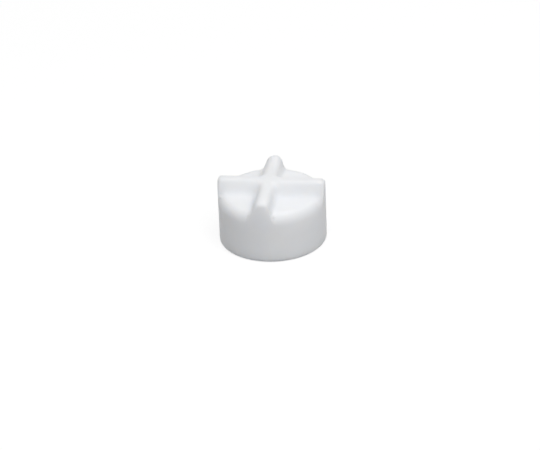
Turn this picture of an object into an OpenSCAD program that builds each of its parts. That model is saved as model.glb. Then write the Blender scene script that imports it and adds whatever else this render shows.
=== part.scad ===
// Disc stirring magnet with a cross of ribs.
// A bar magnet lies across a round body and is sealed in one PTFE moulding.
// The body stands on its flat bottom: origin at the middle of it, +Z up, ribs along X and Y.

/* [Disc] */
// Diameter of the round body
disc_d = 25; // [22:0.5:40]
// Height of the round body, from its bottom to the floor between the ribs
disc_h = 12.3; // [11:0.1:20]
// Radius of the rounded upper rim
rim_r = 1.6; // [0.6:0.05:2.4]
// Radius of the bottom edge
bottom_r = 0.7; // [0.2:0.05:1.5]

/* [Ribs] */
// Height of the ribs above the floor between them
rib_h = 3.1; // [2:0.1:5]
// Width of a rib where its flanks would meet its top
rib_top_w = 2.65; // [2:0.05:5]
// Lean of each flank from the vertical, in degrees
flank_lean = 22; // [14:1:24]
// Radius along the upper edges of a rib
rib_edge_r = 0.7; // [0.3:0.05:1.1]
// Radius of the upper edge at the ends of a rib
rib_end_r = 0.8; // [0.3:0.05:1.2]
// Radius of the hollow where a flank runs into the floor
foot_r = 0.8; // [0.4:0.05:1.3]
// Radius, seen from above, of the corner between two ribs
corner_r = 1.45; // [1.3:0.05:2.5]
// Distance of the front-to-back rib from the middle, to the left if negative
rib_shift = -0.85; // [-1.5:0.05:1.5]

/* [Magnet] */
// Diameter of the bar magnet
magnet_d = 8; // [4:0.5:8.5]
// Length of the bar magnet
magnet_l = 19; // [10:0.5:19]
// Width of the ground edge at each end of the magnet
magnet_edge = 0.4; // [0.1:0.05:1]
// Gap left round the magnet when the jacket is moulded over it
magnet_gap = 0.02; // [0.01:0.01:0.1]

/* [Hidden] */

$fn = 96;

disc_r = disc_d / 2;
total_h = disc_h + rib_h;
// How far a cutting shape runs past the surface that it cuts
past = 1;
// How far a blend dips under the surfaces that it joins, so that it crosses them
dip = 0.02;

// Half the width of a rib at its foot, without the hollow
foot_w = rib_top_w / 2 + rib_h * tan(flank_lean);
// Distance from the middle of a rib to the axis of the corner between two ribs
axis_off = foot_w + corner_r;
// Middle of the round that is the upper edge of a rib, from the axis of the corner
edge_z = rib_h - rib_edge_r + dip;
edge_x = corner_r + edge_z * tan(flank_lean) + rib_edge_r / cos(flank_lean);
// Middle of the round that is the hollow at the foot of a flank
hollow_z = foot_r - dip;
hollow_x = corner_r - hollow_z / tan(45 + flank_lean / 2);
// The four quarters of the disc, by the signs of x and y
SIDES = [[1, 1], [-1, 1], [-1, -1], [1, -1]];
// Circle on which the middle of the rim round lies
rim_x = disc_r - rim_r;
rim_z = disc_h - rim_r;

// Outline of the space beside a rib: x from the corner's axis towards the rib, y from the floor
module beside_rib() {
    low = -rim_r - past;
    difference() {
        polygon([
            [0, low],
            [corner_r + low * tan(flank_lean), low],
            [edge_x - rib_edge_r * cos(flank_lean), edge_z + rib_edge_r * sin(flank_lean)],
            [edge_x, edge_z],
            [edge_x, rib_h + past],
            [0, rib_h + past]
        ]);
        translate([edge_x, edge_z]) circle(rib_edge_r);
    }
}

// Section of the hollow between flank and floor, with a root in each of them
module hollow_section() {
    root = foot_r / 2;
    deep = foot_r + root;
    difference() {
        polygon([
            [hollow_x, -root],
            [hollow_x, hollow_z],
            [hollow_x + deep * cos(flank_lean), hollow_z - deep * sin(flank_lean)],
            [hollow_x + deep * cos(flank_lean), -root]
        ]);
        translate([hollow_x, hollow_z]) circle(foot_r);
    }
}

// Turns its children, made for the back right quarter of the disc, into the quarter at side
module in_quarter(side) {
    mirror([side.x < 0 ? 1 : 0, 0, 0]) mirror([0, side.y < 0 ? 1 : 0, 0]) children();
}

// Carries a section round the corner between two ribs and out along both of them
module round_corner(shift) {
    module straight() rotate([0, 0, 180]) rotate([90, 0, 0]) linear_extrude(disc_d) children();
    translate([axis_off + shift, axis_off, disc_h]) {
        rotate([0, 0, 180]) rotate_extrude(angle = 90) children();
        straight() children();
        mirror([1, -1, 0]) straight() children();
    }
}

// Everything that is cut away round the ribs, down to the level under the rim
module beside_ribs() {
    for (side = SIDES) in_quarter(side) {
        shift = side.x * rib_shift;
        round_corner(shift) beside_rib();
        translate([axis_off + shift, axis_off, rim_z - past])
            cube([disc_d, disc_d, rim_r + rib_h + 2 * past]);
    }
}

// The hollows along the feet of all flanks, which run out just before they reach the rim
module hollows() {
    run_out_r = rim_x - past / 4;
    intersection() {
        for (side = SIDES) in_quarter(side) {
            round_corner(side.x * rib_shift) hollow_section();
        }
        translate([0, 0, disc_h - foot_r])
            cylinder(h = 2 * foot_r, r1 = run_out_r + foot_r, r2 = run_out_r - foot_r);
    }
}

// Space above the floor and outside the rounded rim
module above_body() {
    rotate_extrude() difference() {
        polygon([
            [0, disc_h],
            [rim_x, disc_h],
            [rim_x, rim_z],
            [disc_r + past, rim_z],
            [disc_r + past, total_h + past],
            [0, total_h + past]
        ]);
        translate([rim_x, rim_z]) circle(rim_r);
    }
}

// Corner outside a round of radius r, to cut a square edge at the end of x and the foot of y
module outside_round(r) {
    difference() {
        polygon([[-r, -past], [-r, r], [past, r], [past, -past]]);
        translate([-r, r]) circle(r);
    }
}

// Round blank as high as the ribs, with its bottom edge and its upper edge rounded
module blank() {
    rotate_extrude() difference() {
        square([disc_r, total_h]);
        translate([disc_r, 0]) outside_round(bottom_r);
        translate([disc_r, total_h]) mirror([0, 1]) outside_round(rib_end_r);
    }
}

// Bar magnet along X, larger all round by grow
module bar(grow) {
    r = magnet_d / 2 + grow;
    half_l = magnet_l / 2 + grow;
    translate([0, 0, disc_h / 2]) rotate([0, 90, 0]) rotate_extrude() polygon([
        [0, -half_l],
        [r - magnet_edge, -half_l],
        [r, magnet_edge - half_l],
        [r, half_l - magnet_edge],
        [r - magnet_edge, half_l],
        [0, half_l]
    ]);
}

module ptfe_jacket() {
    color("white") difference() {
        blank();
        difference() {
            intersection() {
                beside_ribs();
                above_body();
            }
            hollows();
        }
        bar(magnet_gap);
    }
}

module magnet() {
    color("dimgray") bar(0);
}

ptfe_jacket();
magnet();
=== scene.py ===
"""Dresses the stirring disc: a waxy white jacket with a cross of ribs, moulded round a bar magnet.

The jacket is shaped here as one smooth closed mesh, with crowned ribs, hollows that run out over
the rim and a softly rounded crossing. It stands for the plain solid of the same name. The magnet
sealed inside keeps its solid and gets its own metal finish. All lengths are in metres.
"""

import logging
import math
from collections.abc import Callable
from dataclasses import dataclass
from enum import Enum

import bmesh
import bpy
import numpy as np
from mathutils import Matrix, Vector


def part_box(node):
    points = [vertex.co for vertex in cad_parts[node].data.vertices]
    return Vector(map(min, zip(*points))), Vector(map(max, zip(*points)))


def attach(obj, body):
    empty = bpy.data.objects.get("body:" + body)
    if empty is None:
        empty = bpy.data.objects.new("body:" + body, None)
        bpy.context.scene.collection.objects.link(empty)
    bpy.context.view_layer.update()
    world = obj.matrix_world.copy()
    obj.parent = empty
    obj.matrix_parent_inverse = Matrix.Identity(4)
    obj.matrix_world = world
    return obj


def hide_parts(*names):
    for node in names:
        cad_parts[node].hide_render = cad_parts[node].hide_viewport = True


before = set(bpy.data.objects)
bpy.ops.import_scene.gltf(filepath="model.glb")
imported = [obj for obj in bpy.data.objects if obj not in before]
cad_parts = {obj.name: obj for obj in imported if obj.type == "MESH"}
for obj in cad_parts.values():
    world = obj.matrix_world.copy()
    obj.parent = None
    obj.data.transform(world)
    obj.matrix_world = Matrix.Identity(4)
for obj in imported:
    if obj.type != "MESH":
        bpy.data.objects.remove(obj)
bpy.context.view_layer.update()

MM = 0.001
BODY = "root"
# The middle band of a noise pattern, which its visible tones are stretched over
BAND_LOW = 0.3
BAND_HIGH = 0.7
# Share of strength that each finer layer of a noise pattern keeps
LAYER_SHARE = 0.55
# Keeps a divisor off zero where both parts of it vanish
TINY = 1e-9

log = logging.getLogger("stir_disc")


class Part(Enum):
    """The solids of the frame that this script dresses, by name."""

    JACKET = "ptfe_jacket"
    MAGNET = "magnet"


class Finish(Enum):
    """The material slots of the frame, by name."""

    JACKET = "ptfe"


# ---------------------------------------------------------------- shader helpers


class Graph:
    """A node tree, with short ways to add and join nodes."""

    def __init__(self, owner: bpy.types.Material | bpy.types.World) -> None:
        """Empties the tree of a material or a world.

        Args:
            owner: What the tree belongs to.
        """
        owner.use_nodes = True
        self.tree = owner.node_tree
        self.tree.nodes.clear()

    def add(
        self, kind: str, values: dict[str, object] | None = None, **settings: object
    ) -> bpy.types.Node:
        """Adds a node.

        Args:
            kind: The node's Blender type.
            values: What its input sockets hold, by socket name.
            settings: Its own properties, such as operation.

        Returns:
            The new node.
        """
        node = self.tree.nodes.new(kind)
        for key, setting in settings.items():
            setattr(node, key, setting)
        for socket, value in (values or {}).items():
            node.inputs[socket].default_value = value
        return node

    def join(self, source: bpy.types.NodeSocket, target: bpy.types.NodeSocket) -> None:
        """Joins an output socket to an input socket."""
        self.tree.links.new(source, target)

    def looked_at(self) -> bpy.types.NodeSocket:
        """Adds a factor that is 1 for the camera and for what a gloss or a clear piece shows.

        Returns:
            The factor.
        """
        path = self.add("ShaderNodeLightPath")
        factor = path.outputs["Is Camera Ray"]
        for ray in ("Is Glossy Ray", "Is Transmission Ray"):
            either = self.add("ShaderNodeMath", operation="MAXIMUM")
            self.join(factor, either.inputs[0])
            self.join(path.outputs[ray], either.inputs[1])
            factor = either.outputs["Value"]
        return factor


class Shader(Graph):
    """A material's node tree, with patterns that are fixed to the piece."""

    def __init__(self, name: str) -> None:
        """Starts an empty node material.

        Args:
            name: The material's name.
        """
        self.material = bpy.data.materials.new(name)
        super().__init__(self.material)
        self.output = self.add("ShaderNodeOutputMaterial")

    def cloud(
        self,
        size: float,
        detail: float = 3.0,
        stretch: tuple[float, float, float] = (1.0, 1.0, 1.0),
    ) -> bpy.types.NodeSocket:
        """Adds a noise pattern fixed to the piece.

        Args:
            size: The pattern's grain in metres.
            detail: How many finer layers it holds.
            stretch: How much finer it is along X, Y and Z.

        Returns:
            The pattern's value, from 0 to 1.
        """
        place = self.add("ShaderNodeTexCoord")
        turn = self.add("ShaderNodeMapping", {"Scale": tuple(s / size for s in stretch)})
        layers = {"Scale": 1.0, "Detail": detail, "Roughness": LAYER_SHARE}
        noise = self.add("ShaderNodeTexNoise", layers)
        self.join(place.outputs["Object"], turn.inputs["Vector"])
        self.join(turn.outputs["Vector"], noise.inputs["Vector"])
        return noise.outputs["Fac"]

    def span(self, source: bpy.types.NodeSocket, low: float, high: float) -> bpy.types.NodeSocket:
        """Maps a pattern's middle band to a range.

        Args:
            source: The pattern.
            low: The value at the band's lower end and under it.
            high: The value at the band's upper end and over it.

        Returns:
            The mapped value.
        """
        ends = {"From Min": BAND_LOW, "From Max": BAND_HIGH, "To Min": low, "To Max": high}
        node = self.add("ShaderNodeMapRange", ends)
        self.join(source, node.inputs["Value"])
        return node.outputs["Result"]


# ---------------------------------------------------------------- finishes


@dataclass(frozen=True)
class WaxyFluoropolymer:
    """Moulded white fluoropolymer: milky, satin, a little see-through at thin edges."""

    white: tuple[float, float, float] = (0.890, 0.903, 0.935)
    shaded: tuple[float, float, float] = (0.872, 0.885, 0.918)
    bend: float = 1.36
    sheen: float = 0.25
    gloss_low: float = 0.41
    gloss_high: float = 0.55
    glow: float = 1.0
    glow_reach: float = 2.9 * MM
    glow_tint: tuple[float, float, float] = (1.0, 0.95, 0.9)
    cloud_size: float = 4.5 * MM
    gloss_size: float = 1.5 * MM
    grain_size: float = 0.22 * MM
    ripple_size: float = 2.6 * MM
    grain_height: float = 0.004 * MM
    ripple_height: float = 0.03 * MM

    def material(self) -> bpy.types.Material:
        """Builds the finish.

        Returns:
            The jacket's material.
        """
        s = Shader("jacket_fluoropolymer")
        skin = s.add(
            "ShaderNodeBsdfPrincipled",
            {
                "IOR": self.bend,
                "Specular IOR Level": self.sheen,
                "Subsurface Weight": self.glow,
                "Subsurface Radius": self.glow_tint,
                "Subsurface Scale": self.glow_reach,
            },
        )
        s.join(skin.outputs["BSDF"], s.output.inputs["Surface"])
        milk = s.add("ShaderNodeMix", data_type="RGBA")
        milk.inputs["A"].default_value = (*self.shaded, 1.0)
        milk.inputs["B"].default_value = (*self.white, 1.0)
        s.join(s.span(s.cloud(self.cloud_size), 0.0, 1.0), milk.inputs["Factor"])
        s.join(milk.outputs["Result"], skin.inputs["Base Color"])
        gloss = s.span(s.cloud(self.gloss_size), self.gloss_low, self.gloss_high)
        s.join(gloss, skin.inputs["Roughness"])
        ripple = s.add("ShaderNodeBump", {"Strength": 1.0, "Distance": self.ripple_height})
        s.join(s.cloud(self.ripple_size, detail=1.0), ripple.inputs["Height"])
        grain = s.add("ShaderNodeBump", {"Strength": 1.0, "Distance": self.grain_height})
        s.join(s.cloud(self.grain_size), grain.inputs["Height"])
        s.join(ripple.outputs["Normal"], grain.inputs["Normal"])
        s.join(grain.outputs["Normal"], skin.inputs["Normal"])
        return s.material


@dataclass(frozen=True)
class CastMagnetAlloy:
    """Cast and ground magnet alloy: dull grey metal with fine grinding lines round it."""

    light: tuple[float, float, float] = (0.40, 0.40, 0.41)
    dark: tuple[float, float, float] = (0.26, 0.26, 0.27)
    line_size: float = 0.12 * MM
    pit_size: float = 0.5 * MM
    line_height: float = 0.006 * MM
    line_stretch: tuple[float, float, float] = (1.0, 0.05, 0.05)
    gloss_low: float = 0.35
    gloss_high: float = 0.6

    def material(self) -> bpy.types.Material:
        """Builds the finish.

        Returns:
            The magnet's material.
        """
        s = Shader("magnet_cast_alloy")
        metal = s.add("ShaderNodeBsdfPrincipled", {"Metallic": 1.0})
        s.join(metal.outputs["BSDF"], s.output.inputs["Surface"])
        tone = s.add("ShaderNodeMix", data_type="RGBA")
        tone.inputs["A"].default_value = (*self.dark, 1.0)
        tone.inputs["B"].default_value = (*self.light, 1.0)
        s.join(s.span(s.cloud(self.pit_size), 0.0, 1.0), tone.inputs["Factor"])
        s.join(tone.outputs["Result"], metal.inputs["Base Color"])
        lines = s.cloud(self.line_size, stretch=self.line_stretch)
        gloss = s.span(lines, self.gloss_low, self.gloss_high)
        s.join(gloss, metal.inputs["Roughness"])
        ground = s.add("ShaderNodeBump", {"Strength": 1.0, "Distance": self.line_height})
        s.join(lines, ground.inputs["Height"])
        s.join(ground.outputs["Normal"], metal.inputs["Normal"])
        return s.material


# ---------------------------------------------------------------- the jacket's skin


def trimmed(a: np.ndarray, b: np.ndarray, radius: np.ndarray | float) -> np.ndarray:
    """What lies inside both of two surfaces, with the edge between them rounded.

    Args:
        a: Distances to the first surface, negative inside it.
        b: Distances to the second one.
        radius: The edge's radius.

    Returns:
        Distances to the trimmed shape.
    """
    corner = np.hypot(np.maximum(radius + a, 0.0), np.maximum(radius + b, 0.0))
    return np.minimum(-radius, np.maximum(a, b)) + corner


def blended(a: np.ndarray, b: np.ndarray, radius: np.ndarray | float) -> np.ndarray:
    """What lies inside either of two surfaces, with a hollow of a radius where they meet.

    Args:
        a: Distances to the first surface, negative inside it.
        b: Distances to the second one.
        radius: The hollow's radius.

    Returns:
        Distances to the blended shape.
    """
    corner = np.hypot(np.maximum(radius - a, 0.0), np.maximum(radius - b, 0.0))
    return np.maximum(radius, np.minimum(a, b)) - corner


@dataclass(frozen=True)
class Rib:
    """One rib's section across its length, and how round its ends are."""

    top_width: float
    rise: float
    lean_low_side: float
    lean_high_side: float
    end: float
    shift: float = 0.0
    edge: float = 0.43 * MM

    def half_foot(self, lean: float) -> float:
        """How far a flank of some lean, in degrees, reaches from the rib's middle."""
        return self.top_width / 2 + self.rise * math.tan(math.radians(lean))

    def flank(self, across: np.ndarray, below_top: np.ndarray) -> np.ndarray:
        """Distances to the rib's two flanks.

        Args:
            across: Places across the rib.
            below_top: Depths below the rib's top.

        Returns:
            Distances, negative inside the rib.
        """
        offset = across - self.shift
        sides = []
        for sign, lean in ((-1, self.lean_low_side), (1, self.lean_high_side)):
            turn = math.radians(lean)
            half = self.top_width / 2 + below_top * math.tan(turn)
            sides.append((sign * offset - half) * math.cos(turn))
        return np.maximum(*sides)

    def crest(self, across: np.ndarray) -> np.ndarray:
        """How far across the crest each place is, squared: 0 in the middle, 1 at the edge."""
        return ((across - self.shift) / (self.top_width / 2)) ** 2


@dataclass(frozen=True)
class JacketSkin:
    """The jacket's whole outer surface, as distances from it."""

    radius: float
    height: float
    long_rib: Rib
    cross_rib: Rib
    crown: float = 0.1 * MM
    foot: float = 1.0 * MM
    foot_at_rim: float = 0.61 * MM
    foot_run_out: float = 4.0 * MM
    corner: float = 1.8 * MM
    rim: float = 1.98 * MM
    rim_drop: float = 2.8 * MM
    # Share of the rim's ellipse, from its middle out, that counts as deep inside
    rim_core: float = 0.1
    heel: float = 0.78 * MM

    @property
    def floor(self) -> float:
        """Height of the disc's flat top between the ribs."""
        return self.height - self.long_rib.rise

    def shoulder(self, wall: np.ndarray, over_floor: np.ndarray) -> np.ndarray:
        """Distances from the plain disc, whose rim is a quarter of an ellipse in section.

        Args:
            wall: Distances to the side wall, negative inside it.
            over_floor: Heights over the disc's flat top.

        Returns:
            Distances, negative inside the disc.
        """
        sideways = np.maximum(1.0 + wall / self.rim, 0.0)
        upwards = np.maximum(1.0 + over_floor / self.rim_drop, 0.0)
        reach = np.hypot(sideways, upwards)
        slope = np.hypot(sideways / self.rim, upwards / self.rim_drop)
        slope = slope / np.maximum(reach, self.rim_core)
        deep = np.maximum(wall, over_floor)
        return np.where(reach > self.rim_core, (reach - 1.0) / np.maximum(slope, 1.0), deep)

    def distance(self, spot: np.ndarray) -> np.ndarray:
        """Distances from the skin.

        Args:
            spot: Points, one in each row.

        Returns:
            One distance each, negative inside the jacket.
        """
        x, y, z = spot.T
        below_top = self.height - z
        long_flank = self.long_rib.flank(y, below_top)
        cross_flank = self.cross_rib.flank(x, below_top)
        flank = blended(long_flank, cross_flank, self.corner)
        near_long, near_cross = self.long_rib.crest(y), self.cross_rib.crest(x)
        fall = near_long * near_cross / (near_long + near_cross + TINY)
        out = np.hypot(x, y)
        to_cross = (y / np.maximum(out, MM)) ** 2
        edge = self.long_rib.edge + (self.cross_rib.edge - self.long_rib.edge) * to_cross
        ribs = trimmed(flank, self.crown * fall - below_top, edge)
        wall = out - self.radius
        body = self.shoulder(wall, z - self.floor)
        near_rim = np.clip(1.0 + wall / self.foot_run_out, 0.0, 1.0)
        foot = self.foot + (self.foot_at_rim - self.foot) * near_rim**2 * (3.0 - 2.0 * near_rim)
        whole = blended(ribs, body, foot)
        up_rib = np.clip((z - self.floor) / self.long_rib.rise, 0.0, 1.0)
        end = self.long_rib.end + (self.cross_rib.end - self.long_rib.end) * to_cross
        return trimmed(trimmed(whole, wall, end * np.sqrt(up_rib)), -z, self.heel)

    def settled(
        self,
        spot: np.ndarray,
        rounds: int = 12,
        step: float = 0.001 * MM,
        least_steep: float = 0.25,
    ) -> np.ndarray:
        """Moves points straight onto the skin.

        Args:
            spot: Points near the skin, one in each row.
            rounds: How many times each point is brought nearer.
            step: The length over which the slope is measured.
            least_steep: The least square of a slope that a move is worked out from.

        Returns:
            The moved points.
        """
        spot = spot.copy()
        for _ in range(rounds):
            ahead = [self.distance(spot + step * axis) for axis in np.eye(3)]
            behind = [self.distance(spot - step * axis) for axis in np.eye(3)]
            slope = (np.array(ahead) - np.array(behind)).T / (2 * step)
            steep = np.maximum((slope**2).sum(1), least_steep)
            spot -= slope * (self.distance(spot) / steep)[:, None]
        return spot


# ---------------------------------------------------------------- the jacket's mesh


def put_in_order(bm: bmesh.types.BMesh) -> None:
    """Sorts a mesh's edges and faces by their points, so that they come the same each run.

    Operators that grow a mesh take the order of new edges and faces from where they lie in the
    computer's memory.

    Args:
        bm: The mesh to sort, whose points already come the same each run.
    """
    bm.verts.index_update()
    for sequence in (bm.edges, bm.faces):
        by_points = sorted(sequence, key=lambda element: sorted(v.index for v in element.verts))
        rank = {element: place for place, element in enumerate(by_points)}
        sequence.sort(key=rank.get)


@dataclass
class Jacket:
    """The white jacket, as one closed mesh that stands for its plain solid."""

    skin: JacketSkin
    finish: WaxyFluoropolymer
    plate_half: float = 6.8 * MM
    floor_step: float = 0.5 * MM
    crest_cells: int = 4
    edge_cells: int = 6
    flank_cells: int = 5
    foot_cells: int = 6
    ring_cells: int = 9
    rim_cells: int = 9
    wall_cells: int = 18
    heel_cells: int = 4
    sole_cells: int = 8
    # How far the dense bands of mesh lines reach to either side of an edge and of a foot, as
    # shares of its radius
    edge_before: float = 0.75
    edge_after: float = 0.25
    foot_before: float = 0.35
    foot_after: float = 0.85
    # Least distance of a mesh line from the plate's own edge
    least_gap: float = 0.01 * MM
    # Share of the sole's radius at which its rings end and close in one point
    sole_core: float = 0.04

    def stations(self, rib: Rib) -> list[float]:
        """Where the mesh lines that run along a rib lie across it.

        Args:
            rib: The rib.

        Returns:
            Places across the rib, from low to high, with none at the plate's own edges.
        """
        places = [rib.shift]
        for sign, lean in ((-1, rib.lean_low_side), (1, rib.lean_high_side)):
            half_top = rib.top_width / 2
            half_foot = rib.half_foot(lean)
            edge_start = half_top - self.edge_before * rib.edge
            edge_end = half_top + self.edge_after * rib.edge
            foot_start = half_foot - self.foot_before * self.skin.foot
            foot_end = half_foot + self.foot_after * self.skin.foot
            reach = self.plate_half - sign * rib.shift
            floor_cells = max(1, round((reach - foot_end) / self.floor_step))
            bands = (
                (0.0, edge_start, self.crest_cells),
                (edge_start, edge_end, self.edge_cells),
                (edge_end, foot_start, self.flank_cells),
                (foot_start, foot_end, self.foot_cells),
                (foot_end, reach, floor_cells),
            )
            for start, end, cells in bands:
                for i in range(1, cells + 1):
                    place = start + (end - start) * i / cells
                    if place < reach - self.least_gap:
                        places.append(rib.shift + sign * place)
        return sorted(places)

    def plate(self, bm: bmesh.types.BMesh) -> None:
        """Lays the square middle of the top, cut along every rib line.

        Args:
            bm: The mesh to fill.
        """
        bmesh.ops.create_grid(bm, x_segments=1, y_segments=1, size=self.plate_half)
        bmesh.ops.translate(bm, verts=bm.verts[:], vec=(0, 0, self.skin.floor))
        cuts = [((1, 0, 0), place) for place in self.stations(self.skin.cross_rib)]
        cuts += [((0, 1, 0), place) for place in self.stations(self.skin.long_rib)]
        for normal, place in cuts:
            everything = bm.verts[:] + bm.edges[:] + bm.faces[:]
            spot = Vector(normal) * place
            bmesh.ops.bisect_plane(bm, geom=everything, plane_co=spot, plane_no=normal)

    def on_circle(self, spot: Vector, radius: float) -> Vector:
        """Where a line that leaves the plate at its edge meets a circle.

        Lines beside a rib run on straight, and the others fan out evenly to the diagonals.

        Args:
            spot: The place on the plate's edge.
            radius: The circle's radius.

        Returns:
            The place on the circle, at the same height.
        """
        ends_in_y = abs(spot.y) >= abs(spot.x)
        rib = self.skin.cross_rib if ends_in_y else self.skin.long_rib
        across = spot.x if ends_in_y else spot.y
        side = math.copysign(1.0, across - rib.shift)
        lean = rib.lean_high_side if side > 0 else rib.lean_low_side
        straight = rib.half_foot(lean) + self.skin.foot
        offset = abs(across - rib.shift)
        if offset > straight:
            reach = self.plate_half - side * rib.shift
            diagonal = radius * math.sqrt(0.5) - side * rib.shift
            offset = straight + (offset - straight) * (diagonal - straight) / (reach - straight)
        across = rib.shift + side * offset
        along = math.sqrt(radius**2 - across**2)
        if ends_in_y:
            return Vector((across, math.copysign(along, spot.y), spot.z))
        return Vector((math.copysign(along, spot.x), across, spot.z))

    def border(self, bm: bmesh.types.BMesh, cells: int, place: Callable[[Vector], Vector]) -> None:
        """Grows the mesh by one band from its open border, row by row.

        Each row's points are placed from the band's two ends. Cutting one wide row into narrow
        ones would number the points in another order each run.

        Args:
            bm: The mesh, with one open border.
            cells: How many rows of faces the band gets.
            place: Where each border point's copy goes.
        """
        ends = {v.co.to_tuple(): (v.co.copy(), place(v.co)) for v in bm.verts if v.is_boundary}
        for row in range(1, cells + 1):
            edges = [e for e in bm.edges if e.is_boundary]
            grown = bmesh.ops.extrude_edge_only(bm, edges=edges)["geom"]
            moved = {}
            for vert in [v for v in grown if isinstance(v, bmesh.types.BMVert)]:
                start, end = ends[vert.co.to_tuple()]
                vert.co = start.lerp(end, row / cells)
                moved[vert.co.to_tuple()] = (start, end)
            ends = moved

    def raise_ribs(self, bm: bmesh.types.BMesh) -> None:
        """Lifts the top's points that lie under the ribs.

        Args:
            bm: The mesh, still flat.
        """
        for vert in bm.verts:
            lift = 0.0
            for rib, across in ((self.skin.long_rib, vert.co.y), (self.skin.cross_rib, vert.co.x)):
                lean = rib.lean_high_side if across > rib.shift else rib.lean_low_side
                run = rib.half_foot(lean) - abs(across - rib.shift)
                lift = max(lift, min(run / math.tan(math.radians(lean)), rib.rise))
            vert.co.z += lift

    def on_wall(self, spot: Vector) -> Vector:
        """Where a point, moved straight out, meets the side wall's circle at its height."""
        return spot.to_2d().normalized().to_3d() * self.skin.radius + Vector((0, 0, spot.z))

    def mesh(self) -> bpy.types.Mesh:
        """Shapes the jacket.

        Returns:
            The finished mesh.
        """
        skin = self.skin
        bm = bmesh.new()
        self.plate(bm)
        self.border(bm, self.ring_cells, lambda p: self.on_circle(p, skin.radius - skin.rim))
        self.border(bm, self.rim_cells, self.on_wall)
        self.raise_ribs(bm)
        self.border(bm, self.rim_cells, lambda p: p - Vector((0, 0, skin.rim_drop)))
        self.border(bm, self.wall_cells, lambda p: Vector((p.x, p.y, skin.heel)))
        self.border(bm, self.heel_cells, lambda p: Vector((p.x, p.y, 0)))
        self.border(bm, self.heel_cells, lambda p: p * (1 - skin.heel / skin.radius))
        self.border(bm, self.sole_cells, lambda p: p * self.sole_core)
        last = [v for v in bm.verts if v.is_boundary]
        bmesh.ops.pointmerge(bm, verts=last, merge_co=(0, 0, 0))
        spots = np.array([v.co for v in bm.verts])
        for vert, spot in zip(bm.verts, skin.settled(spots)):
            vert.co = spot
        bmesh.ops.recalc_face_normals(bm, faces=bm.faces[:])
        for face in bm.faces:
            face.smooth = True
        put_in_order(bm)
        mesh = bpy.data.meshes.new("jacket")
        bm.to_mesh(mesh)
        bm.free()
        return mesh

    def build(self) -> bpy.types.Object:
        """Makes the jacket, dresses it and sets it in its solid's place.

        Returns:
            The jacket's object.
        """
        piece = bpy.data.objects.new("jacket", self.mesh())
        bpy.context.scene.collection.objects.link(piece)
        piece.data.materials.append(self.finish.material())
        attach(piece, BODY)
        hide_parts(Part.JACKET.value)
        log.info("%s: %d faces", piece.name, len(piece.data.polygons))
        return piece


@dataclass
class Magnet:
    """The bar magnet sealed inside, which keeps its plain solid."""

    finish: CastMagnetAlloy

    def build(self) -> bpy.types.Object:
        """Dresses the magnet's solid.

        Returns:
            The magnet's object.
        """
        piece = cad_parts[Part.MAGNET.value]
        piece.data.materials.clear()
        piece.data.materials.append(self.finish.material())
        log.info("%s: dressed", piece.name)
        return piece


# ---------------------------------------------------------------- studio


@dataclass(frozen=True)
class Lamp:
    """A soft area lamp that looks at the object."""

    name: str
    azimuth: float
    elevation: float
    distance: float
    size: float
    watts: float

    def build(self, target: Vector) -> None:
        """Hangs the lamp.

        Args:
            target: The point it looks at.
        """
        data = bpy.data.lights.new(self.name, "AREA")
        data.shape = "SQUARE"
        data.size = self.size
        data.energy = self.watts
        lamp = bpy.data.objects.new(self.name, data)
        bpy.context.scene.collection.objects.link(lamp)
        away = direction(self.azimuth, self.elevation)
        lamp.location = target + away * self.distance
        lamp.rotation_mode = "QUATERNION"
        lamp.rotation_quaternion = away.to_track_quat("Z", "Y")


def direction(azimuth: float, elevation: float) -> Vector:
    """The way from the object to something round it.

    Args:
        azimuth: Degrees round the object, 0 in front and growing to its right.
        elevation: Degrees above the horizon.

    Returns:
        A vector of length 1.
    """
    a, e = math.radians(azimuth), math.radians(elevation)
    return Vector((math.sin(a) * math.cos(e), -math.cos(a) * math.cos(e), math.sin(e)))


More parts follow.
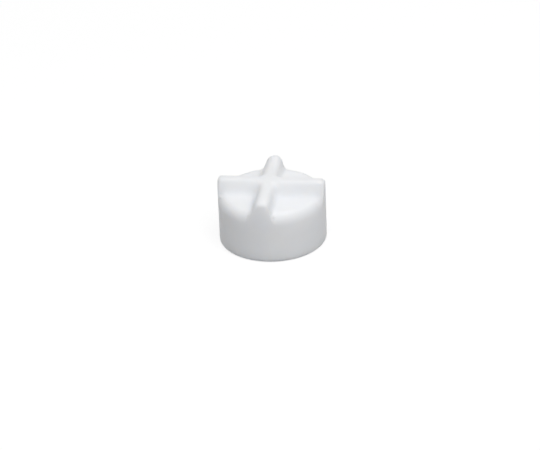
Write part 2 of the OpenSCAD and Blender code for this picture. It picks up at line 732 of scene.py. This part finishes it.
@dataclass(frozen=True)
class Studio:
    """A pale floor, soft lamps and a plain bright room."""

    lamps: tuple[Lamp, ...]
    room_light: float = 0.22
    floor_radius: float = 3.0
    floor_sides: int = 64
    floor_bounce: float = 0.62
    floor_seen: float = 0.22
    floor_glow: float = 0.82

    def floor_material(self) -> bpy.types.Material:
        """Makes the floor's paint, which looks white and keeps a soft shadow.

        Returns:
            The floor's material.
        """
        s = Shader("studio_floor")
        dull = s.add("ShaderNodeBsdfDiffuse", {"Color": (*[self.floor_bounce] * 3, 1.0)})
        paint = s.add("ShaderNodeBsdfDiffuse", {"Color": (*[self.floor_seen] * 3, 1.0)})
        glow = s.add("ShaderNodeEmission", {"Strength": self.floor_glow})
        bright = s.add("ShaderNodeAddShader")
        s.join(paint.outputs["BSDF"], bright.inputs[0])
        s.join(glow.outputs["Emission"], bright.inputs[1])
        either = s.add("ShaderNodeMixShader")
        s.join(s.looked_at(), either.inputs["Fac"])
        s.join(dull.outputs["BSDF"], either.inputs[1])
        s.join(bright.outputs["Shader"], either.inputs[2])
        s.join(either.outputs["Shader"], s.output.inputs["Surface"])
        return s.material

    def build(self, target: Vector) -> None:
        """Sets up the floor, the lamps and the room.

        Args:
            target: The point that the lamps look at.
        """
        bm = bmesh.new()
        bmesh.ops.create_circle(
            bm, cap_ends=True, radius=self.floor_radius, segments=self.floor_sides
        )
        mesh = bpy.data.meshes.new("studio_floor")
        bm.to_mesh(mesh)
        bm.free()
        floor = bpy.data.objects.new("studio_floor", mesh)
        bpy.context.scene.collection.objects.link(floor)
        mesh.materials.append(self.floor_material())
        for lamp in self.lamps:
            lamp.build(target)
        self.room()

    def room(self) -> None:
        """Lights the room plainly, and shows it white."""
        world = bpy.data.worlds.new("studio_room")
        bpy.context.scene.world = world
        g = Graph(world)
        output = g.add("ShaderNodeOutputWorld")
        back = g.add("ShaderNodeBackground", {"Color": (1.0, 1.0, 1.0, 1.0)})
        strength = g.add("ShaderNodeMapRange", {"To Min": self.room_light, "To Max": 1.0})
        g.join(g.looked_at(), strength.inputs["Value"])
        g.join(strength.outputs["Result"], back.inputs["Strength"])
        g.join(back.outputs["Background"], output.inputs["Surface"])


@dataclass(frozen=True)
class LongLens:
    """A camera far away with a long lens, so that upright lines stay upright."""

    azimuth: float = 8.63
    elevation: float = 28.44
    roll: float = -2.25
    lens: float = 166.0
    sensor: float = 36.0
    image_width: int = 540
    farthest: float = 100.0
    pixels_per_mm: float = 4.298
    off_right: float = 2.5
    off_up: float = 11.45

    def build(self, target: Vector) -> None:
        """Sets up the camera.

        Args:
            target: The point that the picture's middle is measured from.
        """
        back = direction(self.azimuth, self.elevation)
        side = math.radians(self.azimuth)
        level = Vector((math.cos(side), math.sin(side), 0))
        upright = back.cross(level)
        turn = math.radians(self.roll)
        right = level * math.cos(turn) + upright * math.sin(turn)
        up = upright * math.cos(turn) - level * math.sin(turn)
        pixel = MM / self.pixels_per_mm
        middle = target - right * self.off_right * pixel - up * self.off_up * pixel
        distance = self.image_width * pixel * self.lens / self.sensor
        data = bpy.data.cameras.new("studio_camera")
        data.lens = self.lens
        data.sensor_width = self.sensor
        data.clip_end = self.farthest
        camera = bpy.data.objects.new("studio_camera", data)
        bpy.context.scene.collection.objects.link(camera)
        axes = (right, up, back)
        turned = Matrix([[axis[i] for axis in axes] for i in range(3)])
        camera.matrix_world = Matrix.Translation(middle + back * distance) @ turned.to_4x4()
        bpy.context.scene.camera = camera


def main() -> None:
    """Builds the jacket, the magnet and the studio."""
    logging.basicConfig(level=logging.INFO, format="%(name)s %(message)s")
    _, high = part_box(Part.JACKET.value)
    skin = JacketSkin(
        radius=high.x,
        height=high.z,
        long_rib=Rib(
            top_width=2.2 * MM,
            rise=3.14 * MM,
            lean_low_side=22.2,
            lean_high_side=26.8,
            end=1.0 * MM,
        ),
        cross_rib=Rib(
            top_width=2.86 * MM,
            rise=3.14 * MM,
            lean_low_side=21.7,
            lean_high_side=8.8,
            shift=-0.60 * MM,
            end=1.21 * MM,
            edge=1.09 * MM,
        ),
    )
    Jacket(skin, WaxyFluoropolymer()).build()
    Magnet(CastMagnetAlloy()).build()
    target = Vector((0, 0, skin.floor / 2))
    lamps = (
        Lamp("key", azimuth=33.0, elevation=60.0, distance=0.9, size=0.8, watts=4.9),
        Lamp("overhead", azimuth=0, elevation=90, distance=0.9, size=0.6, watts=2.0),
        Lamp("left_fill", azimuth=270, elevation=65, distance=0.9, size=0.6, watts=0.4),
    )
    Studio(lamps).build(target)
    LongLens().build(target)
    bpy.context.scene.view_settings.view_transform = "Standard"


if __name__ == "__main__":
    main()
